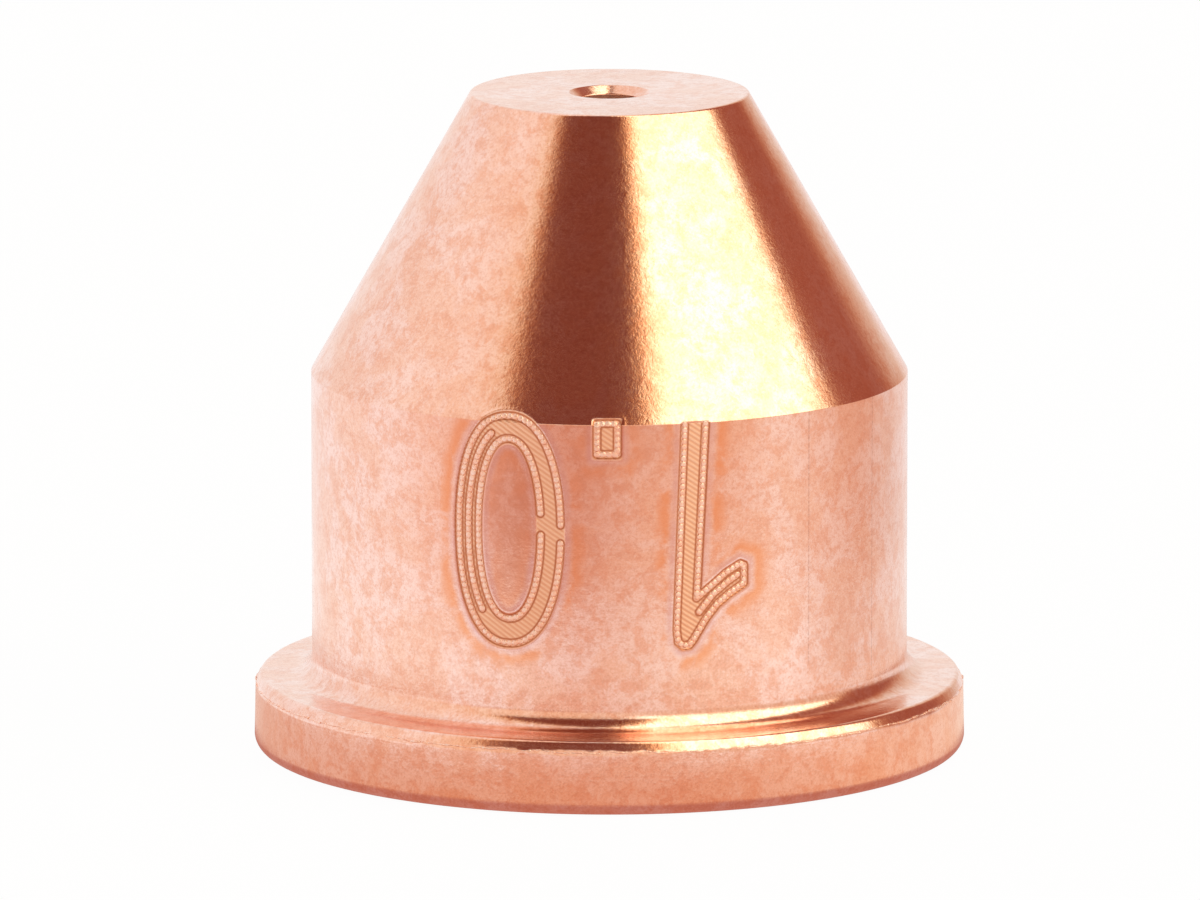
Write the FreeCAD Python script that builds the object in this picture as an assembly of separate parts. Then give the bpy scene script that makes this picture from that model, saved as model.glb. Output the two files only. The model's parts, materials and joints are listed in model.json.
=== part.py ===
# Plasma torch nozzle: one piece of turned copper. The arc leaves through the small
# bore in the nose, the flange at the rear is clamped by the torch's retaining cap, and
# the stepped bore holds the gas distributor and the tip of the electrode.
# +Z is the torch's axis, towards the work. The origin is on the axis, in the plane of
# the rear face.
import FreeCAD, Part
import math
import os

# ---- driving dimensions, mm and degrees ----
# outside
overall_length = 10.33
body_d = 9.30
nose_d = 4.33
nose_edge_break = 0.06
cone_half_angle = 29.5
cone_edge_break = 0.05
root_fillet = 0.32
# rear flange
flange_width = 0.91
flange_thickness = 1.16
flange_edge_width = 0.09
flange_edge_height = 0.165
rim_taper = 0.02
rear_edge_radius = 0.20
# arc bore
orifice_d = 1.00
orifice_land = 2.00
exit_countersink_width = 0.13
exit_countersink_depth = 0.12
# chamber for the electrode's tip
chamber_wall = 1.45
chamber_floor_half_angle = 50.0
chamber_corner_fillet = 0.40
# seat of the gas distributor, at the rear
seat_step = 0.60
seat_depth = 1.60
mouth_chamfer = 0.20

# ---- sizes that follow from them ----
body_r = body_d / 2
nose_r = nose_d / 2
orifice_r = orifice_d / 2
flange_r = body_r + flange_width
chamber_r = body_r - chamber_wall
seat_r = chamber_r + seat_step
cone_slope = math.tan(math.radians(cone_half_angle))
floor_slope = math.tan(math.radians(chamber_floor_half_angle))
cone_base_z = overall_length - (body_r - nose_r) / cone_slope
edge_base_z = flange_thickness - flange_edge_height
edge_base_r = flange_r - rim_taper
edge_top_r = edge_base_r - flange_edge_width
exit_r = orifice_r + exit_countersink_width
exit_base_z = overall_length - exit_countersink_depth
floor_apex_z = exit_base_z - orifice_land
floor_base_z = floor_apex_z - (chamber_r - orifice_r) / floor_slope


def at(r, z):
    return FreeCAD.Vector(r, 0, z)


def corner_fillet(before, corner, after, radius):
    """Ends of the tangent arc that rounds a corner of the section, and its middle."""
    a = (before - corner).normalize()
    b = (after - corner).normalize()
    half = a.getAngle(b) / 2
    run = radius / math.tan(half)
    axis = (a + b).normalize()
    centre = corner + axis * (radius / math.sin(half))
    return corner + a * run, centre - axis * radius, corner + b * run


# ---- section, from the rear face round the outside and back down the bores ----
heel = corner_fillet(
    at(seat_r, 0),
    at(flange_r, 0),
    at(edge_base_r, edge_base_z),
    rear_edge_radius,
)
root = corner_fillet(
    at(edge_top_r, flange_thickness),
    at(body_r, flange_thickness),
    at(body_r, cone_base_z),
    min(root_fillet, 0.9 * (edge_top_r - body_r)),
)
shoulder = corner_fillet(
    at(body_r, flange_thickness),
    at(body_r, cone_base_z),
    at(nose_r, overall_length),
    cone_edge_break,
)
nose = corner_fillet(
    at(body_r, cone_base_z),
    at(nose_r, overall_length),
    at(orifice_r, overall_length),
    nose_edge_break,
)
floor_corner = corner_fillet(
    at(orifice_r, floor_apex_z),
    at(chamber_r, floor_base_z),
    at(chamber_r, seat_depth),
    chamber_corner_fillet,
)

section = [
    Part.LineSegment(at(seat_r + mouth_chamfer, 0), heel[0]),
    Part.Arc(*heel),
    Part.LineSegment(heel[2], at(edge_base_r, edge_base_z)),
    Part.LineSegment(at(edge_base_r, edge_base_z), at(edge_top_r, flange_thickness)),
    Part.LineSegment(at(edge_top_r, flange_thickness), root[0]),
    Part.Arc(*root),
    Part.LineSegment(root[2], shoulder[0]),
    Part.Arc(*shoulder),
    Part.LineSegment(shoulder[2], nose[0]),
    Part.Arc(*nose),
    Part.LineSegment(nose[2], at(exit_r, overall_length)),
    Part.LineSegment(at(exit_r, overall_length), at(orifice_r, exit_base_z)),
    Part.LineSegment(at(orifice_r, exit_base_z), at(orifice_r, floor_apex_z)),
    Part.LineSegment(at(orifice_r, floor_apex_z), floor_corner[0]),
    Part.Arc(*floor_corner),
    Part.LineSegment(floor_corner[2], at(chamber_r, seat_depth)),
    Part.LineSegment(at(chamber_r, seat_depth), at(seat_r, seat_depth)),
    Part.LineSegment(at(seat_r, seat_depth), at(seat_r, mouth_chamfer)),
    Part.LineSegment(at(seat_r, mouth_chamfer), at(seat_r + mouth_chamfer, 0)),
]
outline = Part.Wire([piece.toShape() for piece in section])
nozzle = Part.Face(outline).revolve(at(0, 0), FreeCAD.Vector(0, 0, 1), 360)

os.makedirs("parts", exist_ok=True)
nozzle.exportStep("parts/nozzle.step")
print("nozzle: solids", len(nozzle.Solids), "valid", nozzle.isValid())
print("volume mm3", round(nozzle.Volume, 2), "mass g", round(nozzle.Volume * 8.96e-3, 3))
print("cone base z", round(cone_base_z, 3), "floor base z", round(floor_base_z, 3))
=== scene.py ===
import json
import math

import bpy
import numpy as np
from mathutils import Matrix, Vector


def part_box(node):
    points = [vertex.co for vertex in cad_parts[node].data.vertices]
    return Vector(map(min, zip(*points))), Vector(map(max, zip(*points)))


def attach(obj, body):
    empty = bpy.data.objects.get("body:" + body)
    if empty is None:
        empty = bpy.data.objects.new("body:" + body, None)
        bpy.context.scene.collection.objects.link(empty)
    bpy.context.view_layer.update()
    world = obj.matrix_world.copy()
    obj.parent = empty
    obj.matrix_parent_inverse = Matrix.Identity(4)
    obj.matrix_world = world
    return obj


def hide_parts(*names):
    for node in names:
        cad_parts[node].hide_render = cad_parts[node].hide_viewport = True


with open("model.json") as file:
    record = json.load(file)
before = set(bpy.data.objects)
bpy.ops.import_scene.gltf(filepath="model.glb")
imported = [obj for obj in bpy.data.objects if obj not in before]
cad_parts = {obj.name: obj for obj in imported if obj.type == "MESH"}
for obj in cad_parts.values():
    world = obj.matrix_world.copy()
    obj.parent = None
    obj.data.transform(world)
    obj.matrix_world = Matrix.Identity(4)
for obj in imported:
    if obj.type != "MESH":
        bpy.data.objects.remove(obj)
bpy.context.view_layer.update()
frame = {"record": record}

# ==== Nozzle body ====
# One bar of copper turned on a lathe: nose, cone, straight body and flange outside, and
# the arc bore, the electrode's chamber and the gas distributor's seat inside. The size
# number on its side is cut by a pulsed laser, so the skin is fine-meshed there.
fits = {mount["name"]: mount["dims"].get("r_mm") for mount in frame["record"]["mounts"]}
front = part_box("nozzle")[1]
length = front.z * 1000
flange_r = front.x * 1000
body_r = fits["body_outside"]
seat_r = fits["distributor_seat"]
chamber_r = fits["electrode_chamber"]
arc_bore_r = fits["arc_bore"]

# outside
nose_r = 2.165
nose_edge_break = 0.05
cone_half_angle = math.radians(29.5)
cone_foot_z = length - (body_r - nose_r) / math.tan(cone_half_angle)
cone_foot_break = 0.03
marked_cone_width = 0.22
marked_cone_r = body_r - marked_cone_width
marked_cone_z = cone_foot_z + marked_cone_width / math.tan(cone_half_angle)
flange_top_z = 1.16
root_fillet = 0.32
edge_foot_z = flange_top_z - 0.165
edge_foot_r = flange_r - 0.02
edge_top_r = edge_foot_r - 0.09
edge_foot_break = 0.22
edge_top_break = 0.08
rear_edge_radius = 0.20
# inside
mouth_chamfer = 0.20
seat_depth = 1.60
countersink_r = arc_bore_r + 0.13
countersink_z = length - 0.12
floor_tip_z = countersink_z - 2.00
floor_foot_z = floor_tip_z - (chamber_r - arc_bore_r) / math.tan(math.radians(50))
chamber_corner_fillet = 0.40
# cells of the mesh along the section: fine under the number, long on plain walls
skin_cell = 0.028
curve_cell = 0.12
wall_cell = 1.20

# Corners of the section in turning order: radius and height of the corner, radius of
# its rounding, steps of the rounding, and the cell along the wall that follows it.
turned_corners = [
    (seat_r + mouth_chamfer, 0.0, 0.03, 3, wall_cell),
    (flange_r, 0.0, rear_edge_radius, 9, wall_cell),
    (edge_foot_r, edge_foot_z, edge_foot_break, 5, curve_cell),
    (edge_top_r, flange_top_z, edge_top_break, 6, curve_cell),
    (body_r, flange_top_z, root_fillet, 14, skin_cell),
    (body_r, cone_foot_z, cone_foot_break, 5, skin_cell),
    (marked_cone_r, marked_cone_z, 0.0, 0, wall_cell),
    (nose_r, length, nose_edge_break, 5, wall_cell),
    (countersink_r, length, 0.015, 3, wall_cell),
    (arc_bore_r, countersink_z, 0.02, 3, wall_cell),
    (arc_bore_r, floor_tip_z, 0.08, 4, wall_cell),
    (chamber_r, floor_foot_z, chamber_corner_fillet, 7, wall_cell),
    (chamber_r, seat_depth, 0.04, 3, wall_cell),
    (seat_r, seat_depth, 0.04, 3, wall_cell),
    (seat_r, mouth_chamfer, 0.04, 3, wall_cell),
]


def turned_section(corners):
    """Points of the closed section, with a row close to each end of every rounding."""
    close_by = 0.012
    ends = []
    count = len(corners)
    for k in range(count):
        here = np.array(corners[k][:2])
        to_last = np.array(corners[k - 1][:2]) - here
        to_next = np.array(corners[(k + 1) % count][:2]) - here
        to_last /= np.linalg.norm(to_last)
        to_next /= np.linalg.norm(to_next)
        radius, steps = corners[k][2], corners[k][3]
        if radius == 0:
            ends.append([here])
            continue
        half = math.acos(np.clip(to_last @ to_next, -1, 1)) / 2
        middle = to_last + to_next
        centre = here + middle / np.linalg.norm(middle) * radius / math.sin(half)
        first = here + to_last * radius / math.tan(half) - centre
        last = here + to_next * radius / math.tan(half) - centre
        sweep = math.acos(np.clip(first @ last / radius**2, -1, 1))
        arc = []
        for step in range(steps + 1):
            part = step / steps
            arc.append(
                centre
                + (math.sin((1 - part) * sweep) * first + math.sin(part * sweep) * last)
                / math.sin(sweep)
            )
        ends.append(arc)
    points = []
    for k in range(count):
        points.extend(ends[k])
        start, stop = ends[k][-1], ends[(k + 1) % count][0]
        wall = np.linalg.norm(stop - start)
        along = [close_by, wall - close_by]
        inner = wall - 2 * close_by
        cells = max(1, math.ceil(inner / corners[k][4]))
        along[1:1] = [close_by + inner * c / cells for c in range(1, cells)]
        if wall > 3 * close_by:
            points.extend(start + (stop - start) * a / wall for a in along)
    return np.array(points)


section = turned_section(turned_corners)
steps_along = np.linalg.norm(np.diff(section, axis=0), axis=1)
run = np.concatenate([[0], np.cumsum(steps_along)])
body_run = run[np.argmax((np.abs(section[:, 0] - body_r) < 1e-6) & (section[:, 1] > 1.0))]
cone_run = body_run + cone_foot_z - flange_top_z - root_fillet

# Columns round the axis, counted from the marked side: fine where the number is cut.
fine_columns = np.radians(np.arange(-34.0, 31.01, 0.345))
coarse_columns = np.linspace(fine_columns[-1], fine_columns[0] + math.tau, 116)[1:-1]
turns = np.concatenate([fine_columns, coarse_columns])

# The number: each stroke is an outline on the unrolled skin, in millimetres across
# from the middle of the marked side and up from the rear face.
def oval(across, up, half_width, half_height, fullness, count=160):
    angles = np.linspace(0, 2 * math.pi, count, endpoint=False)
    c, s = np.cos(angles), np.sin(angles)
    return np.column_stack(
        [
            across + half_width * np.sign(c) * np.abs(c) ** (2 / fullness),
            up + half_height * np.sign(s) * np.abs(s) ** (2 / fullness),
        ]
    )


nought_outside = oval(-1.592, 4.265, 0.897, 1.845, 2.25)
nought_inside = oval(-1.579, 4.275, 0.448, 1.345, 2.2)
stop_outline = np.array([(-0.256, 5.42), (0.181, 5.42), (0.181, 6.03), (-0.256, 6.03)])
one_outline = np.array(
    [
        (1.108, 5.985),
        (0.980, 2.72),
        (1.005, 2.50),
        (1.120, 2.40),
        (1.270, 2.41),
        (1.360, 2.52),
        (1.560, 2.84),
        (1.740, 3.05),
        (1.930, 3.19),
        (2.208, 3.35),
        (2.208, 3.70),
        (2.070, 3.76),
        (1.800, 3.62),
        (1.428, 3.33),
        (1.566, 5.985),
    ]
)
stroke_groups = [(nought_outside, nought_inside), (stop_outline,), (one_outline,)]


def inset(outline, depth):
    """A closed outline moved inwards by a depth, with its corners kept."""
    before = outline - np.roll(outline, 1, axis=0)
    after = np.roll(outline, -1, axis=0) - outline
    before /= np.linalg.norm(before, axis=1)[:, None]
    after /= np.linalg.norm(after, axis=1)[:, None]
    turning = np.cross(outline - outline.mean(axis=0), after).sum()
    lean = np.column_stack([-before[:, 1] - after[:, 1], before[:, 0] + after[:, 0]])
    lean *= np.sign(turning) / (1 + np.sum(before * after, axis=1))[:, None]
    return outline + lean * depth


def opened(loop, across, low, high):
    """A closed track cut open to the right of a line, between two heights."""
    gap = (loop[:, 0] > across) & (loop[:, 1] > low) & (loop[:, 1] < high)
    first = np.flatnonzero(gap & ~np.roll(gap, -1))[0] + 1
    loop = np.roll(loop, -first, axis=0)
    return loop[~np.roll(gap, -first)]


# Paths of the laser: one just inside each outline, and one more where a stroke is wide.
bead_inset = 0.062
one_track = inset(one_outline, bead_inset)
stop_track = inset(stop_outline, bead_inset)
flag_track = np.array([(1.40, 2.98), (1.62, 3.24), (1.86, 3.42), (2.03, 3.52)])
laser_tracks = [
    opened(oval(-1.592, 4.265, 0.835, 1.783, 2.25), -1.5, 4.15, 4.33),
    opened(oval(-1.579, 4.275, 0.510, 1.407, 2.2), -1.5, 4.25, 4.48),
    oval(-1.590, 4.265, 0.672, 1.590, 2.2)[50:104],
    np.vstack([stop_track, stop_track[:1]]),
    one_track,
    flag_track,
]


def outline_distance(points, outline):
    """Distance to a closed outline, negative inside it."""
    best = np.full(len(points), 1e9)
    inside = np.zeros(len(points), bool)
    for a, b in zip(outline, np.roll(outline, -1, axis=0)):
        edge = b - a
        away = points - a
        part = np.clip(away @ edge / (edge @ edge), 0, 1)
        best = np.minimum(best, np.hypot(*(away - part[:, None] * edge).T))
        crosses = (a[1] > points[:, 1]) != (b[1] > points[:, 1])
        with np.errstate(divide="ignore", invalid="ignore"):
            at = a[0] + (points[:, 1] - a[1]) / edge[1] * edge[0]
        inside ^= crosses & (points[:, 0] < at)
    return np.where(inside, -best, best)


def mark_distance(points):
    """Distance to the nearest stroke of the number, negative inside a stroke."""
    nearest = np.full(len(points), 9.0)
    for group in stroke_groups:
        one = outline_distance(points, group[0])
        for hole in group[1:]:
            one = np.maximum(one, -outline_distance(points, hole))
        nearest = np.minimum(nearest, one)
    return nearest


def track_distance(points):
    """Distance to the nearest path of the laser."""
    best = np.full(len(points), 1e9)
    for track in laser_tracks:
        for a, b in zip(track[:-1], track[1:]):
            edge = b - a
            away = points - a
            part = np.clip(away @ edge / (edge @ edge), 0, 1)
            best = np.minimum(best, np.hypot(*(away - part[:, None] * edge).T))
    return best


rows, columns = len(section), len(turns)
radius, height = section[:, 0], section[:, 1]
tangent = np.roll(section, -1, axis=0) - np.roll(section, 1, axis=0)
tangent /= np.linalg.norm(tangent, axis=1)[:, None]
lean_out, lean_up = tangent[:, 1], -tangent[:, 0]
skin_up = np.where(
    height <= cone_foot_z,
    height,
    cone_foot_z + (height - cone_foot_z) / math.cos(cone_half_angle),
)
on_marked_skin = (radius > body_r - 0.35) & (height > 1.6) & (lean_out > 0.5)
wrapped = (turns + math.pi) % (2 * math.pi) - math.pi
near = np.abs(wrapped) < math.radians(36)
across_grid, up_grid = np.meshgrid(wrapped[near] * body_r, skin_up[on_marked_skin])
unrolled = np.column_stack([across_grid.ravel(), up_grid.ravel()])
to_mark, to_track = mark_distance(unrolled), track_distance(unrolled)
above_one = (unrolled[:, 0] > 0.6) & (unrolled[:, 1] > cone_foot_z + 0.01)
to_mark[above_one] = to_track[above_one] = 2.0
marks = np.full((rows, columns), 2.0)
tracks = np.full((rows, columns), 2.0)
marks[np.ix_(on_marked_skin, near)] = to_mark.reshape(across_grid.shape)
tracks[np.ix_(on_marked_skin, near)] = to_track.reshape(across_grid.shape)

# Smoke of the laser inside the nought, and round the full stop up to the cone.
across_all = wrapped[None, :] * body_r
smoked = np.exp(
    -(((across_all + 1.58) / 0.46) ** 4) - (((height[:, None] - 4.25) / 1.42) ** 4)
)
smoked += 0.9 * np.exp(
    -(((across_all - 0.15) / 0.85) ** 4) - (((height[:, None] - 5.75) / 0.55) ** 2)
)
smoked += 0.5 * np.exp(
    -(((across_all + 0.3) / 0.55) ** 2) - (((height[:, None] - 4.6) / 1.0) ** 2)
)
smoked *= (lean_out > 0.5)[:, None] & (height < cone_foot_z + 0.01)[:, None]

groove_depth = 0.016
lip_height = 0.004
groove = groove_depth * np.clip((0.012 - marks) / 0.035, 0, 1)
lip = lip_height * np.exp(-(((marks - 0.035) / 0.02) ** 2))
cut = lip - groove

# The flange's upper edge is a little ragged where the tool left it, so the skin is moved
# there along its normal, as it is in the strokes of the number.
chance = np.random.default_rng(5)
raggedness = chance.normal(0, 1, columns)
for _ in range(2):
    raggedness = 0.5 * raggedness + 0.25 * (np.roll(raggedness, 1) + np.roll(raggedness, -1))
from_edge = np.hypot(radius - edge_foot_r, height - edge_foot_z)
ragged_depth, ragged_reach = 0.008, 0.03
cut += ragged_depth * np.exp(-((from_edge / ragged_reach) ** 2))[:, None] * raggedness
out = radius[:, None] + cut * lean_out[:, None]
up = height[:, None] + cut * lean_up[:, None]
skin = np.stack([out * np.sin(turns), -out * np.cos(turns), up], axis=2) / 1000
row_index, column_index = np.meshgrid(np.arange(rows), np.arange(columns), indexing="ij")
next_row, next_column = (row_index + 1) % rows, (column_index + 1) % columns
quads = np.stack(
    [
        row_index * columns + column_index,
        row_index * columns + next_column,
        next_row * columns + next_column,
        next_row * columns + column_index,
    ],
    axis=2,
).reshape(-1, 4)
body_mesh = bpy.data.meshes.new("nozzle_skin")
body_mesh.from_pydata(skin.reshape(-1, 3).tolist(), [], quads.tolist())
body_mesh.update()
body_mesh.shade_smooth()
for name, values in (("mark", marks), ("track", tracks), ("smoked", smoked)):
    body_mesh.attributes.new(name, "FLOAT", "POINT").data.foreach_set("value", values.ravel())

# The skin unrolled, in millimetres: round the body, and along the section.
turn_at = np.append(turns, turns[0] + 2 * math.pi) * body_r
run_at = np.append(run, run[-1] + np.linalg.norm(section[0] - section[-1]))
unroll = np.stack(
    [
        turn_at[np.stack([column_index, column_index + 1, column_index + 1, column_index], 2)],
        run_at[np.stack([row_index, row_index, row_index + 1, row_index + 1], 2)],
    ],
    axis=3,
)
body_mesh.uv_layers.new(name="unrolled").data.foreach_set("uv", unroll.ravel())
nozzle_skin = bpy.data.objects.new("nozzle_skin", body_mesh)
bpy.context.collection.objects.link(nozzle_skin)


class Finish:
    """A material's node tree, written as one line for each node."""

    def __init__(self, name):
        self.material = bpy.data.materials.new(name)
        self.material.use_nodes = True
        self.nodes = self.material.node_tree.nodes
        self.links = self.material.node_tree.links
        self.shader = self.nodes["Principled BSDF"]

    def node(self, kind, settings=None, **inputs):
        made = self.nodes.new(kind)
        for key, value in (settings or {}).items():
            setattr(made, key, value)
        for key, value in inputs.items():
            self.plug(made.inputs[int(key[1:]) if key[0] == "_" else key], value)
        return made

    def plug(self, socket, value):
        if isinstance(value, bpy.types.NodeSocket):
            self.links.new(value, socket)
        else:
            socket.default_value = value

    def math(self, operation, a, b=0.0, c=0.0):
        made = self.node("ShaderNodeMath", {"operation": operation}, _0=a, _1=b, _2=c)
        return made.outputs[0]

    def noise(self, vector, scale, detail=4.0, roughness=0.6, distortion=0.0):
        made = self.node(
            "ShaderNodeTexNoise",
            Vector=vector,
            Scale=scale,
            Detail=detail,
            Roughness=roughness,
            Distortion=distortion,
        )
        return made.outputs["Fac"]

    def between(self, value, low, high, to_low=0.0, to_high=1.0):
        made = self.node(
            "ShaderNodeMapRange",
            {"interpolation_type": "SMOOTHSTEP"},
            Value=value,
            _1=low,
            _2=high,
            _3=to_low,
            _4=to_high,
        )
        return made.outputs[0]

    def mix(self, part, one, other, blend="MIX"):
        made = self.node("ShaderNodeMix", {"data_type": "RGBA", "blend_type": blend})
        self.plug(made.inputs[0], part)
        self.plug(made.inputs[6], one)
        self.plug(made.inputs[7], other)
        return made.outputs[2]

    def ramp(self, value, stops):
        made = self.node("ShaderNodeValToRGB", Fac=value)
        elements = made.color_ramp.elements
        while len(elements) < len(stops):
            elements.new(0.5)
        for element, (place, colour) in zip(elements, stops):
            element.position = place
            element.color = colour
        return made


copper = Finish("turned_copper")
place = copper.node("ShaderNodeTexCoord").outputs["Object"]
place = copper.node("ShaderNodeMapping", Vector=place, Scale=(1000, 1000, 1000)).outputs[0]
unrolled_place = copper.node("ShaderNodeUVMap", {"uv_map": "unrolled"}).outputs[0]
sheet = copper.node("ShaderNodeSeparateXYZ", Vector=unrolled_place).outputs
mark_value = copper.node("ShaderNodeAttribute", {"attribute_name": "mark"}).outputs["Fac"]
track_value = copper.node("ShaderNodeAttribute", {"attribute_name": "track"}).outputs["Fac"]
smoked_value = copper.node("ShaderNodeAttribute", {"attribute_name": "smoked"}).outputs["Fac"]

# Handled copper: paler and redder clouds, then brown mottling at three finer scales,
# and the faint lines that the lathe left round the axis.
clouds = copper.noise(place, 0.95, 5.0, 0.62, 0.4)
mottle = copper.noise(place, 3.4, 5.0, 0.70, 0.4)
grain = copper.noise(place, 10.0, 4.0, 0.72, 0.2)
specks = copper.noise(place, 26.0, 2.0, 0.6)
colour = copper.mix(
    copper.between(clouds, 0.44, 0.58), (0.985, 0.715, 0.635, 1), (0.955, 0.610, 0.480, 1)
)
colour = copper.mix(
    copper.between(mottle, 0.46, 0.62, 0.0, 0.75), colour, (0.90, 0.485, 0.345, 1)
)
colour = copper.mix(
    copper.between(grain, 0.47, 0.66, 0.0, 0.50), colour, (0.80, 0.42, 0.30, 1)
)
colour = copper.mix(
    copper.between(specks, 0.48, 0.72, 0.0, 0.40), colour, (0.78, 0.42, 0.30, 1)
)
colour = copper.mix(
    copper.between(specks, 0.32, 0.47, 0.35, 0.0), colour, (1.0, 0.80, 0.73, 1)
)
stretched = copper.node(
    "ShaderNodeCombineXYZ",
    X=copper.math("MULTIPLY", sheet[0], 0.20),
    Y=copper.math("MULTIPLY", sheet[1], 17.0),
).outputs[0]
tool_lines = copper.noise(stretched, 1.0, 4.0, 0.7)

# Laser mark: dark brown lines of painted shade beside each row of beads, where the groove's edge
# falls in shade, a tan hatched filling between them, and outside them a lilac and an orange band
# of heat tint, on the straight body alone.
on_body = copper.between(sheet[1], cone_run - 0.02, cone_run + 0.01, 1.0, 0.0)
patches = copper.noise(place, 2.2, 3.0, 0.6)
smoke = copper.math(
    "MULTIPLY", smoked_value, copper.between(mottle, 0.36, 0.62, 0.35, 0.85)
)
colour = copper.mix(smoke, colour, (0.80, 0.42, 0.30, 1))
tint_reach = copper.math(
    "ADD", mark_value, copper.math("MULTIPLY_ADD", patches, 0.22, -0.11)
)
orange_tint = copper.math(
    "MULTIPLY",
    copper.between(tint_reach, 0.08, 0.18),
    copper.between(tint_reach, 0.18, 0.40, 1.0, 0.0),
)
clear_of_smoke = copper.math("MULTIPLY_ADD", smoked_value, -0.75, 1.0)
for share in (copper.between(clouds, 0.44, 0.56, 0.15, 0.80), clear_of_smoke, on_body):
    orange_tint = copper.math("MULTIPLY", orange_tint, share)
colour = copper.mix(orange_tint, colour, (0.92, 0.41, 0.21, 1))
lilac_tint = copper.math(
    "MULTIPLY",
    copper.between(mark_value, 0.0, 0.03),
    copper.between(mark_value, 0.05, 0.15, 1.0, 0.0),
)
for share in (copper.between(patches, 0.35, 0.65, 0.70, 0.25), on_body):
    lilac_tint = copper.math("MULTIPLY", lilac_tint, share)
colour = copper.mix(lilac_tint, colour, (0.82, 0.54, 0.53, 1))
hatch_pitch = 0.066
slant = copper.math(
    "MULTIPLY_ADD", sheet[0], 0.55, copper.math("MULTIPLY", sheet[1], 0.83)
)
hatch = copper.math("SINE", copper.math("MULTIPLY", slant, math.tau / hatch_pitch))
filling = copper.mix(
    copper.between(hatch, -0.9, 0.9), (0.86, 0.50, 0.33, 1), (0.98, 0.68, 0.50, 1)
)
in_stroke = copper.between(mark_value, -0.012, 0.012, 1.0, 0.0)
colour = copper.mix(in_stroke, colour, filling)
# Painted shade: a dark brown line on each side of every row of beads, at the groove's edge.
bead_edge_shade = copper.math(
    "MULTIPLY",
    copper.between(track_value, 0.042, 0.054),
    copper.between(track_value, 0.062, 0.086, 1.0, 0.0),
)
colour = copper.mix(bead_edge_shade, colour, (0.56, 0.22, 0.12, 1))
under_beads = copper.between(track_value, 0.032, 0.050, 1.0, 0.0)
colour = copper.mix(under_beads, colour, (0.93, 0.58, 0.46, 1))

# The bore was drilled; its wall is coloured darker and made rougher than the rest.
axis_part = copper.node("ShaderNodeSeparateXYZ", Vector=place).outputs
off_axis = copper.node(
    "ShaderNodeCombineXYZ", X=axis_part[0], Y=axis_part[1], Z=0.0
).outputs[0]
off_axis = copper.node("ShaderNodeVectorMath", {"operation": "LENGTH"}, _0=off_axis)
in_bore = copper.math(
    "MULTIPLY",
    copper.between(
        off_axis.outputs["Value"], arc_bore_r + 0.005, arc_bore_r + 0.03, 1.0, 0.0
    ),
    copper.between(axis_part[2], countersink_z - 0.06, countersink_z + 0.02, 1.0, 0.0),
)
colour = copper.mix(in_bore, colour, (0.70, 0.42, 0.33, 1))

# Three hair-thin scratches run up the body: each has its place round the body, and how
# far above the root fillet it has fully begun.
for across, begun in ((3.35, 0.7), (4.94, 0.4), (-4.34, 1.0)):
    beside = copper.math("ABSOLUTE", copper.math("SUBTRACT", sheet[0], across))
    hair = copper.between(beside, 0.006, 0.020, 1.0, 0.0)
    hair = copper.math("MULTIPLY", hair, copper.between(tool_lines, 0.35, 0.60, 0.05, 0.40))
    above = copper.between(sheet[1], body_run + begun - 0.4, body_run + begun)
    for share in (above, on_body):
        hair = copper.math("MULTIPLY", hair, share)
    colour = copper.mix(hair, colour, (0.45, 0.22, 0.17, 1))

rough = copper.math("MULTIPLY_ADD", mottle, 0.12, 0.08)
rough = copper.math("MULTIPLY_ADD", clouds, 0.05, rough)
rough = copper.math("MULTIPLY_ADD", in_stroke, 0.25, rough)
rough = copper.math("MULTIPLY_ADD", in_bore, 0.25, rough)
waves = copper.noise(place, 2.4, 3.0, 0.6)
relief = copper.math("MULTIPLY_ADD", tool_lines, 0.45, copper.math("MULTIPLY", grain, 1.1))
relief = copper.math("MULTIPLY_ADD", specks, 0.5, relief)
relief = copper.math("MULTIPLY_ADD", waves, 0.8, relief)
relief = copper.math(
    "MULTIPLY_ADD", copper.math("MULTIPLY", hatch, in_stroke), 0.9, relief
)
relief = copper.node("ShaderNodeBump", Height=relief, Strength=0.7, Distance=0.000003)
copper.plug(copper.shader.inputs["Base Color"], colour)
copper.plug(copper.shader.inputs["Roughness"], rough)
copper.plug(copper.shader.inputs["Normal"], relief.outputs[0])
copper.shader.inputs["Metallic"].default_value = 1.0
copper.shader.inputs["Anisotropic"].default_value = 0.4
copper.shader.inputs["Anisotropic Rotation"].default_value = 0.25
lathe = copper.node("ShaderNodeTangent", {"direction_type": "RADIAL", "axis": "Z"})
copper.plug(copper.shader.inputs["Tangent"], lathe.outputs[0])
body_mesh.materials.append(copper.material)

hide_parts("nozzle")
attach(nozzle_skin, "root")

# ==== Laser beads ====
# Each pulse of the marking laser melted a bead of copper, and the beads lie in rows along
# the number's outlines. A node tree sets one bead at each step of each row.
melt = Finish("laser_melt")
melt_place = melt.node("ShaderNodeTexCoord").outputs["Object"]
melt_place = melt.node("ShaderNodeMapping", Vector=melt_place, Scale=(1000, 1000, 1000))
melt_grain = melt.noise(melt_place.outputs[0], 9.0, 3.0, 0.6)
melt_colour = melt.mix(
    melt.between(melt_grain, 0.35, 0.65), (1.0, 0.80, 0.72, 1), (0.99, 0.66, 0.53, 1)
)
melt.plug(melt.shader.inputs["Base Color"], melt_colour)
melt.plug(melt.shader.inputs["Roughness"], melt.math("MULTIPLY_ADD", melt_grain, 0.2, 0.38))
melt.shader.inputs["Metallic"].default_value = 1.0


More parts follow.
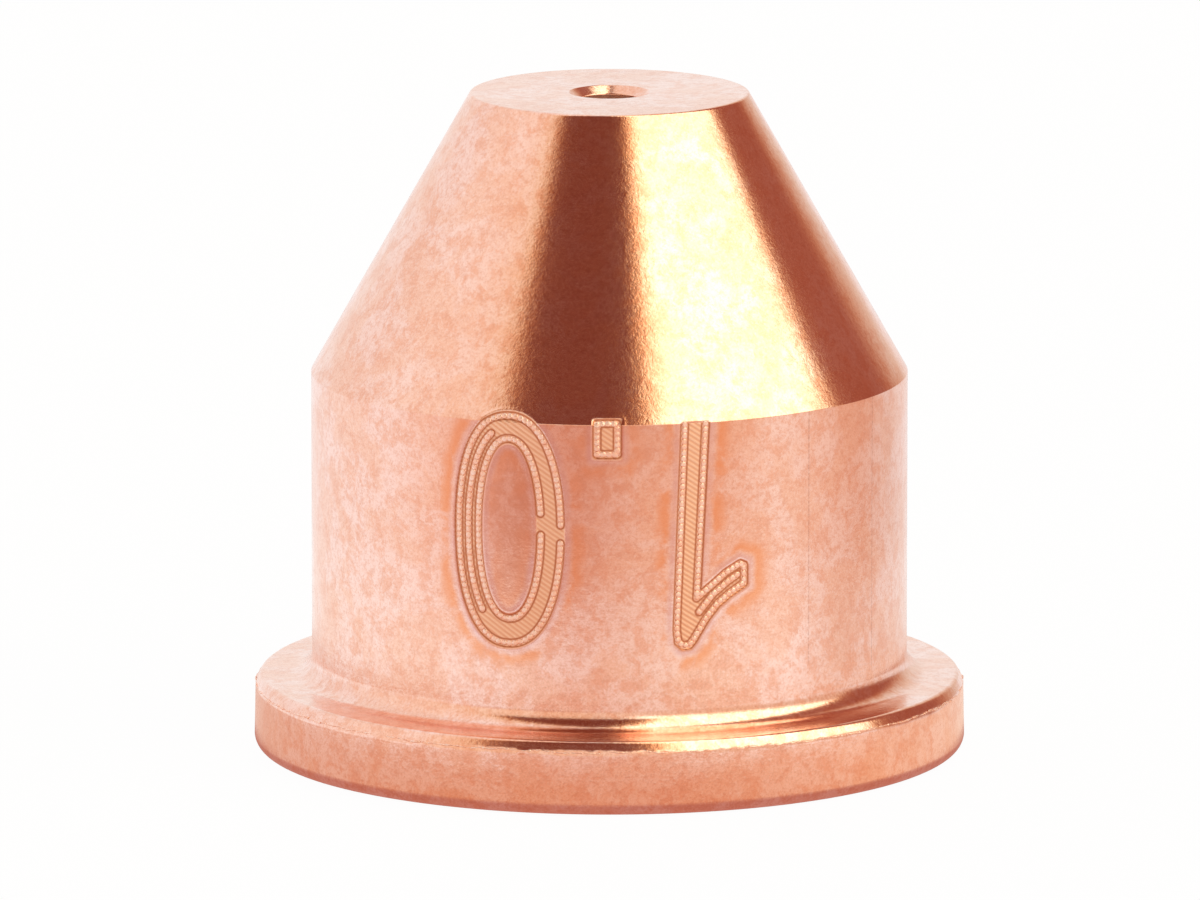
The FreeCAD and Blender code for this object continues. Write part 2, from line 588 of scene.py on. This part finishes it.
def row_tree():
    """Node tree that sets rounded grains along a path, at an even pitch."""
    tree = bpy.data.node_groups.new("grains_along_a_path", "GeometryNodeTree")
    kinds = {
        "Path": "NodeSocketGeometry",
        "Pitch": "NodeSocketFloat",
        "Size": "NodeSocketVector",
        "Unevenness": "NodeSocketFloat",
        "Seed": "NodeSocketInt",
        "Finish": "NodeSocketMaterial",
    }
    sockets = {
        name: tree.interface.new_socket(name, in_out="INPUT", socket_type=kind).identifier
        for name, kind in kinds.items()
    }
    tree.interface.new_socket("Grains", in_out="OUTPUT", socket_type="NodeSocketGeometry")

    def node(kind, settings=None, **inputs):
        made = tree.nodes.new(kind)
        for key, value in (settings or {}).items():
            setattr(made, key, value)
        for key, value in inputs.items():
            socket = made.inputs[int(key[1:]) if key[0] == "_" else key.replace("_", " ")]
            if isinstance(value, bpy.types.NodeSocket):
                tree.links.new(value, socket)
            else:
                socket.default_value = value
        return made

    given = node("NodeGroupInput").outputs
    path = node("GeometryNodeMeshToCurve", Mesh=given["Path"]).outputs[0]
    path = node(
        "GeometryNodeResampleCurve", {"mode": "LENGTH"}, Curve=path, Length=given["Pitch"]
    ).outputs[0]
    skin_normal = node(
        "GeometryNodeInputNamedAttribute", {"data_type": "FLOAT_VECTOR"}, Name="skin_normal"
    ).outputs[0]
    along = node("GeometryNodeInputTangent").outputs[0]
    facing = node("FunctionNodeAlignRotationToVector", {"axis": "Z"}, Vector=skin_normal)
    facing = node(
        "FunctionNodeAlignRotationToVector",
        {"axis": "X", "pivot_axis": "Z"},
        Rotation=facing.outputs[0],
        Vector=along,
    ).outputs[0]
    least = node("ShaderNodeMath", {"operation": "SUBTRACT"}, _0=1.0, _1=given["Unevenness"])
    most = node("ShaderNodeMath", {"operation": "ADD"}, _0=1.0, _1=given["Unevenness"])
    uneven = node("FunctionNodeRandomValue", {"data_type": "FLOAT_VECTOR"})
    tree.links.new(least.outputs[0], uneven.inputs[0])
    tree.links.new(most.outputs[0], uneven.inputs[1])
    tree.links.new(given["Seed"], uneven.inputs["Seed"])
    size = node(
        "ShaderNodeVectorMath", {"operation": "MULTIPLY"}, _0=given["Size"], _1=uneven.outputs[0]
    ).outputs[0]
    grain_shape = node("GeometryNodeMeshIcoSphere", Radius=0.5, Subdivisions=2).outputs[0]
    grains = node(
        "GeometryNodeInstanceOnPoints",
        Points=path,
        Instance=grain_shape,
        Rotation=facing,
        Scale=size,
    ).outputs[0]
    grains = node("GeometryNodeRealizeInstances", Geometry=grains).outputs[0]
    grains = node("GeometryNodeSetShadeSmooth", Geometry=grains).outputs[0]
    grains = node(
        "GeometryNodeSetMaterial", Geometry=grains, Material=given["Finish"]
    ).outputs[0]
    tree.links.new(grains, node("NodeGroupOutput").inputs[0])
    return tree, sockets


grain_tree, grain_sockets = row_tree()


def grains_along(name, paths, normals, pitch, size, unevenness, seed, finish):
    """A mesh of grains along paths of points in metres, as one piece."""
    starts = np.cumsum([0] + [len(path) for path in paths])
    edges = [
        (start + k, start + k + 1)
        for start, path in zip(starts, paths)
        for k in range(len(path) - 1)
    ]
    guide_mesh = bpy.data.meshes.new(name + "_guide")
    guide_mesh.from_pydata(np.vstack(paths).tolist(), edges, [])
    outwards = guide_mesh.attributes.new("skin_normal", "FLOAT_VECTOR", "POINT")
    outwards.data.foreach_set("vector", np.vstack(normals).ravel())
    guide = bpy.data.objects.new(name + "_guide", guide_mesh)
    bpy.context.collection.objects.link(guide)
    rows_of_grains = guide.modifiers.new("grains", "NODES")
    rows_of_grains.node_group = grain_tree
    values = {"Pitch": pitch, "Size": size, "Unevenness": unevenness, "Seed": seed}
    values["Finish"] = finish.material
    for key, value in values.items():
        rows_of_grains[grain_sockets[key]] = value
    grown = guide.evaluated_get(bpy.context.evaluated_depsgraph_get())
    mesh = bpy.data.meshes.new_from_object(grown)
    mesh.name = name
    guide.modifiers.remove(rows_of_grains)
    bpy.data.objects.remove(guide)
    piece = bpy.data.objects.new(name, mesh)
    bpy.context.collection.objects.link(piece)
    return piece


def on_skin(track, lift):
    """Points of an unrolled track laid on the body and the cone, and the skin's normals."""
    turn = track[:, 0] / body_r
    over = np.clip(track[:, 1] - cone_foot_z, 0, None)
    slope = np.where(over > 0, cone_half_angle, 0.0)
    r = body_r - over * np.sin(slope) + lift * np.cos(slope)
    z = np.minimum(track[:, 1], cone_foot_z) + over * np.cos(slope) + lift * np.sin(slope)
    points = np.column_stack([r * np.sin(turn), -r * np.cos(turn), z]) / 1000
    normals = np.column_stack(
        [np.cos(slope) * np.sin(turn), -np.cos(slope) * np.cos(turn), np.sin(slope)]
    )
    return points, normals


laid = [on_skin(track, -0.012) for track in laser_tracks]
laser_beads = grains_along(
    "laser_beads",
    [points for points, _ in laid],
    [normals for _, normals in laid],
    pitch=0.000088,
    size=(0.000104, 0.000092, 0.000026),
    unevenness=0.12,
    seed=3,
    finish=melt,
)
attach(laser_beads, "root")

# ==== Burr ====
# Slivers of copper that the tool left standing along the flange's upper edge.
burr_turns = np.linspace(0, 2 * math.pi, 900)
wander = chance.normal(0, 1, (2, 900))
for _ in range(8):
    wander = 0.5 * wander + 0.25 * (np.roll(wander, 1, axis=1) + np.roll(wander, -1, axis=1))
burr_r = edge_foot_r - 0.012 + 0.022 * wander[0]
burr_path = np.column_stack(
    [
        burr_r * np.sin(burr_turns),
        -burr_r * np.cos(burr_turns),
        edge_foot_z + 0.006 + 0.018 * wander[1],
    ]
)
burr_normals = np.column_stack(
    [np.sin(burr_turns), -np.cos(burr_turns), np.full(len(burr_turns), 0.9)]
)
burr = grains_along(
    "burr",
    [burr_path / 1000],
    [burr_normals / np.linalg.norm(burr_normals, axis=1)[:, None]],
    pitch=0.000062,
    size=(0.000105, 0.000026, 0.000022),
    unevenness=0.65,
    seed=8,
    finish=melt,
)
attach(burr, "root")

# ==== Studio ====
# A white table under a white tent, with a dark card over the camera, a soft box on the
# right, and a dark gap behind it, as small metal parts are lit.
table_radius = 0.6
table_drop = 0.00001
table_rim = [
    (table_radius * math.sin(turn), table_radius * math.cos(turn), -table_drop)
    for turn in np.linspace(math.tau, 0, 96, endpoint=False)
]
table_mesh = bpy.data.meshes.new("table")
table_mesh.from_pydata(table_rim, [], [list(range(96))])
table = bpy.data.objects.new("table", table_mesh)
bpy.context.collection.objects.link(table)
white = Finish("white_table")
white.shader.inputs["Base Color"].default_value = (0.9, 0.9, 0.9, 1)
white.shader.inputs["Roughness"].default_value = 0.7
white.shader.inputs["Specular IOR Level"].default_value = 0.2
spot = white.node("ShaderNodeTexCoord").outputs["Object"]
spot = white.node("ShaderNodeMapping", Vector=spot, Scale=(1000, 1000, 0)).outputs[0]
spot_parts = white.node("ShaderNodeSeparateXYZ", Vector=spot).outputs
way_off = white.node("ShaderNodeVectorMath", {"operation": "LENGTH"}, _0=spot).outputs["Value"]
way_round = white.math("ARCTAN2", spot_parts[0], white.math("MULTIPLY", spot_parts[1], -1.0))
way_round = white.math("MULTIPLY_ADD", way_round, 1 / math.tau, 0.5)


def by_bearing(finish, part_round, stops):
    """Colours by bearing, in degrees from the marked side towards +X."""
    return finish.ramp(
        part_round, [((bearing + 180) / 360, (*shade, 1)) for bearing, shade in stops]
    ).outputs[0]


# The table as the copper shows it in reflection, painted with light and shade: painted shade
# from the camera in front, painted copper-coloured bounce and shade near the nozzle, a painted
# bright ring of light, a painted shadow under the flange's rim and painted darkness under the
# bore.
open_table = by_bearing(
    white,
    way_round,
    [
        (-180, (0.98, 0.93, 0.92)),
        (-120, (1.03, 1.00, 1.00)),
        (-85, (1.03, 0.94, 0.91)),
        (-66, (1.00, 0.80, 0.72)),
        (-48, (0.86, 0.58, 0.50)),
        (-30, (0.70, 0.38, 0.29)),
        (-10, (0.76, 0.44, 0.34)),
        (12, (0.88, 0.60, 0.48)),
        (45, (0.92, 0.64, 0.50)),
        (62, (1.02, 0.86, 0.76)),
        (80, (0.96, 0.76, 0.66)),
        (102, (0.82, 0.53, 0.41)),
        (130, (0.85, 0.72, 0.67)),
        (150, (0.94, 0.86, 0.84)),
        (180, (0.98, 0.93, 0.92)),
    ],
)
# Painted copper-coloured bounce and shade on the table close to the nozzle, by bearing.
near_table = by_bearing(
    white,
    way_round,
    [
        (-180, (0.92, 0.75, 0.68)),
        (-90, (0.85, 0.60, 0.50)),
        (-30, (0.80, 0.45, 0.31)),
        (12, (0.80, 0.43, 0.29)),
        (60, (0.96, 0.63, 0.45)),
        (100, (0.98, 0.76, 0.62)),
        (150, (0.95, 0.76, 0.68)),
        (180, (0.92, 0.75, 0.68)),
    ],
)
ring_colour = by_bearing(
    white,
    way_round,
    [
        (-180, (1.00, 1.00, 1.00)),
        (-32, (1.12, 1.10, 1.08)),
        (-10, (0.98, 0.82, 0.76)),
        (6, (0.98, 0.82, 0.73)),
        (28, (1.10, 1.04, 0.96)),
        (60, (1.12, 1.08, 1.04)),
        (85, (0.92, 0.78, 0.72)),
        (180, (1.00, 1.00, 1.00)),
    ],
)
# Painted light: a brighter ring on the table, about 11 to 20 mm from the axis.
bright_ring = white.math(
    "MULTIPLY",
    white.between(way_off, 10.4, 11.8, 0.0, 1.0),
    white.between(way_off, 16.5, 22.0, 1.0, 0.0),
)
table_shown = white.mix(bright_ring, open_table, ring_colour)
table_shown = white.mix(white.between(way_off, 9.8, 11.6, 1.0, 0.0), table_shown, near_table)
# Painted shadow: dark copper-brown on the table just outside the flange's rim.
under_rim = white.between(way_off, flange_r + 0.1, flange_r + 0.7, 1.0, 0.0)
table_shown = white.mix(under_rim, table_shown, (0.58, 0.27, 0.22, 1))
# Painted shade: near black on the table under the bore.
under_bore = white.between(way_off, 3.0, 4.5, 1.0, 0.0)
table_shown = white.mix(under_bore, table_shown, (0.06, 0.022, 0.016, 1))
path = white.node("ShaderNodeLightPath").outputs
glossy = white.node("ShaderNodeEmission", Color=table_shown, Strength=1.0)
plain_white = white.node("ShaderNodeEmission", Color=(1, 1, 1, 1), Strength=1.0)
seen = white.math("MULTIPLY", path["Is Camera Ray"], 0.97)
lit = white.node("ShaderNodeMixShader", Fac=seen)
white.links.new(white.shader.outputs[0], lit.inputs[1])
white.links.new(plain_white.outputs[0], lit.inputs[2])
blend = white.node("ShaderNodeMixShader", Fac=path["Is Glossy Ray"])
white.links.new(lit.outputs[0], blend.inputs[1])
white.links.new(glossy.outputs[0], blend.inputs[2])
white.links.new(blend.outputs[0], white.nodes["Material Output"].inputs["Surface"])
table_mesh.materials.append(white.material)

tent = bpy.data.worlds.new("tent")
tent.use_nodes = True
bpy.context.scene.world = tent


class Tent(Finish):
    def __init__(self, world):
        self.nodes = world.node_tree.nodes
        self.links = world.node_tree.links


sky = Tent(tent)
heading = sky.node("ShaderNodeTexCoord").outputs["Generated"]
heading = sky.node("ShaderNodeSeparateXYZ", Vector=heading).outputs
bearing = sky.math("ARCTAN2", heading[0], sky.math("MULTIPLY", heading[1], -1.0))
bearing_part = sky.math("MULTIPLY_ADD", bearing, 1 / math.tau, 0.5)
bearing = sky.math("MULTIPLY", bearing, 180 / math.pi)
rise = sky.math("MULTIPLY", sky.math("ARCSINE", heading[2]), 180 / math.pi)
cloth = by_bearing(
    sky,
    bearing_part,
    [
        (-180, (0.98, 0.98, 0.97)),
        (-125, (0.98, 0.90, 0.87)),
        (-98, (1.03, 0.95, 0.90)),
        (-75, (1.02, 0.87, 0.77)),
        (-55, (1.00, 0.78, 0.60)),
        (120, (0.80, 0.55, 0.42)),
        (142, (0.62, 0.34, 0.23)),
        (156, (0.80, 0.64, 0.53)),
        (178, (0.97, 0.97, 0.96)),
    ],
)
light = sky.node("ShaderNodeSeparateColor", Color=cloth).outputs


def hang(light, shade, left, right, bottom, top, soft_left, soft_right, lag):
    """Hang a card in the tent, in degrees. Its fringe is warm: lag widens it for blue."""
    channels = []
    ends = sky.math(
        "MULTIPLY",
        sky.between(rise, bottom - 7, bottom + 7),
        sky.between(rise, top - 7, top + 7, 1.0, 0.0),
    )
    for index in range(3):
        wide = lag * (index - 1)
        sides = sky.math(
            "MULTIPLY",
            sky.between(bearing, left - wide - soft_left, left - wide + soft_left),
            sky.between(
                bearing, right + wide - soft_right, right + wide + soft_right, 1.0, 0.0
            ),
        )
        part = sky.math("MULTIPLY", sides, ends)
        step = sky.math("SUBTRACT", shade[index], light[index])
        channels.append(sky.math("MULTIPLY_ADD", step, part, light[index]))
    return channels


soft_box = (2.20, 2.05, 1.55)
side_card = (0.38, 0.13, 0.09)
front_card = (0.20, 0.050, 0.032)
light = hang(light, soft_box, 10, 102, 24, 100, 3, 4, 0.5)
light = hang(light, side_card, 102, 141, 2, 75, 4, 7, 1.0)
light = hang(light, front_card, -50, 21, 34, 130, 5, 6, 1.5)
glow = sky.node("ShaderNodeCombineColor", Red=light[0], Green=light[1], Blue=light[2])
backing = sky.nodes["Background"]
sky.plug(backing.inputs["Color"], glow.outputs[0])
backing.inputs["Strength"].default_value = 1.0
plain = sky.node("ShaderNodeBackground", Color=(1, 1, 1, 1), Strength=1.0)
choose = sky.node("ShaderNodeMixShader", Fac=sky.node("ShaderNodeLightPath").outputs[0])
sky.links.new(backing.outputs[0], choose.inputs[1])
sky.links.new(plain.outputs[0], choose.inputs[2])
sky.links.new(choose.outputs[0], sky.nodes["World Output"].inputs["Surface"])

# ==== Camera ====
# A long lens, a little above the table, facing the marked side.
lens = bpy.data.cameras.new("camera")
lens.lens = 491.7
lens.sensor_width = 36.0
lens.clip_start = 0.01
lens.clip_end = 10.0
camera = bpy.data.objects.new("camera", lens)
bpy.context.collection.objects.link(camera)
camera_lift = math.radians(10.9)
camera_distance = 0.25575
aim = Vector((-0.147, 0.0, 4.661)) / 1000
towards_camera = Vector((0, -math.cos(camera_lift), math.sin(camera_lift)))
camera.location = aim + camera_distance * towards_camera
camera.rotation_euler = (aim - camera.location).to_track_quat("-Z", "Y").to_euler()
bpy.context.scene.camera = camera
bpy.context.scene.view_settings.view_transform = "Standard"
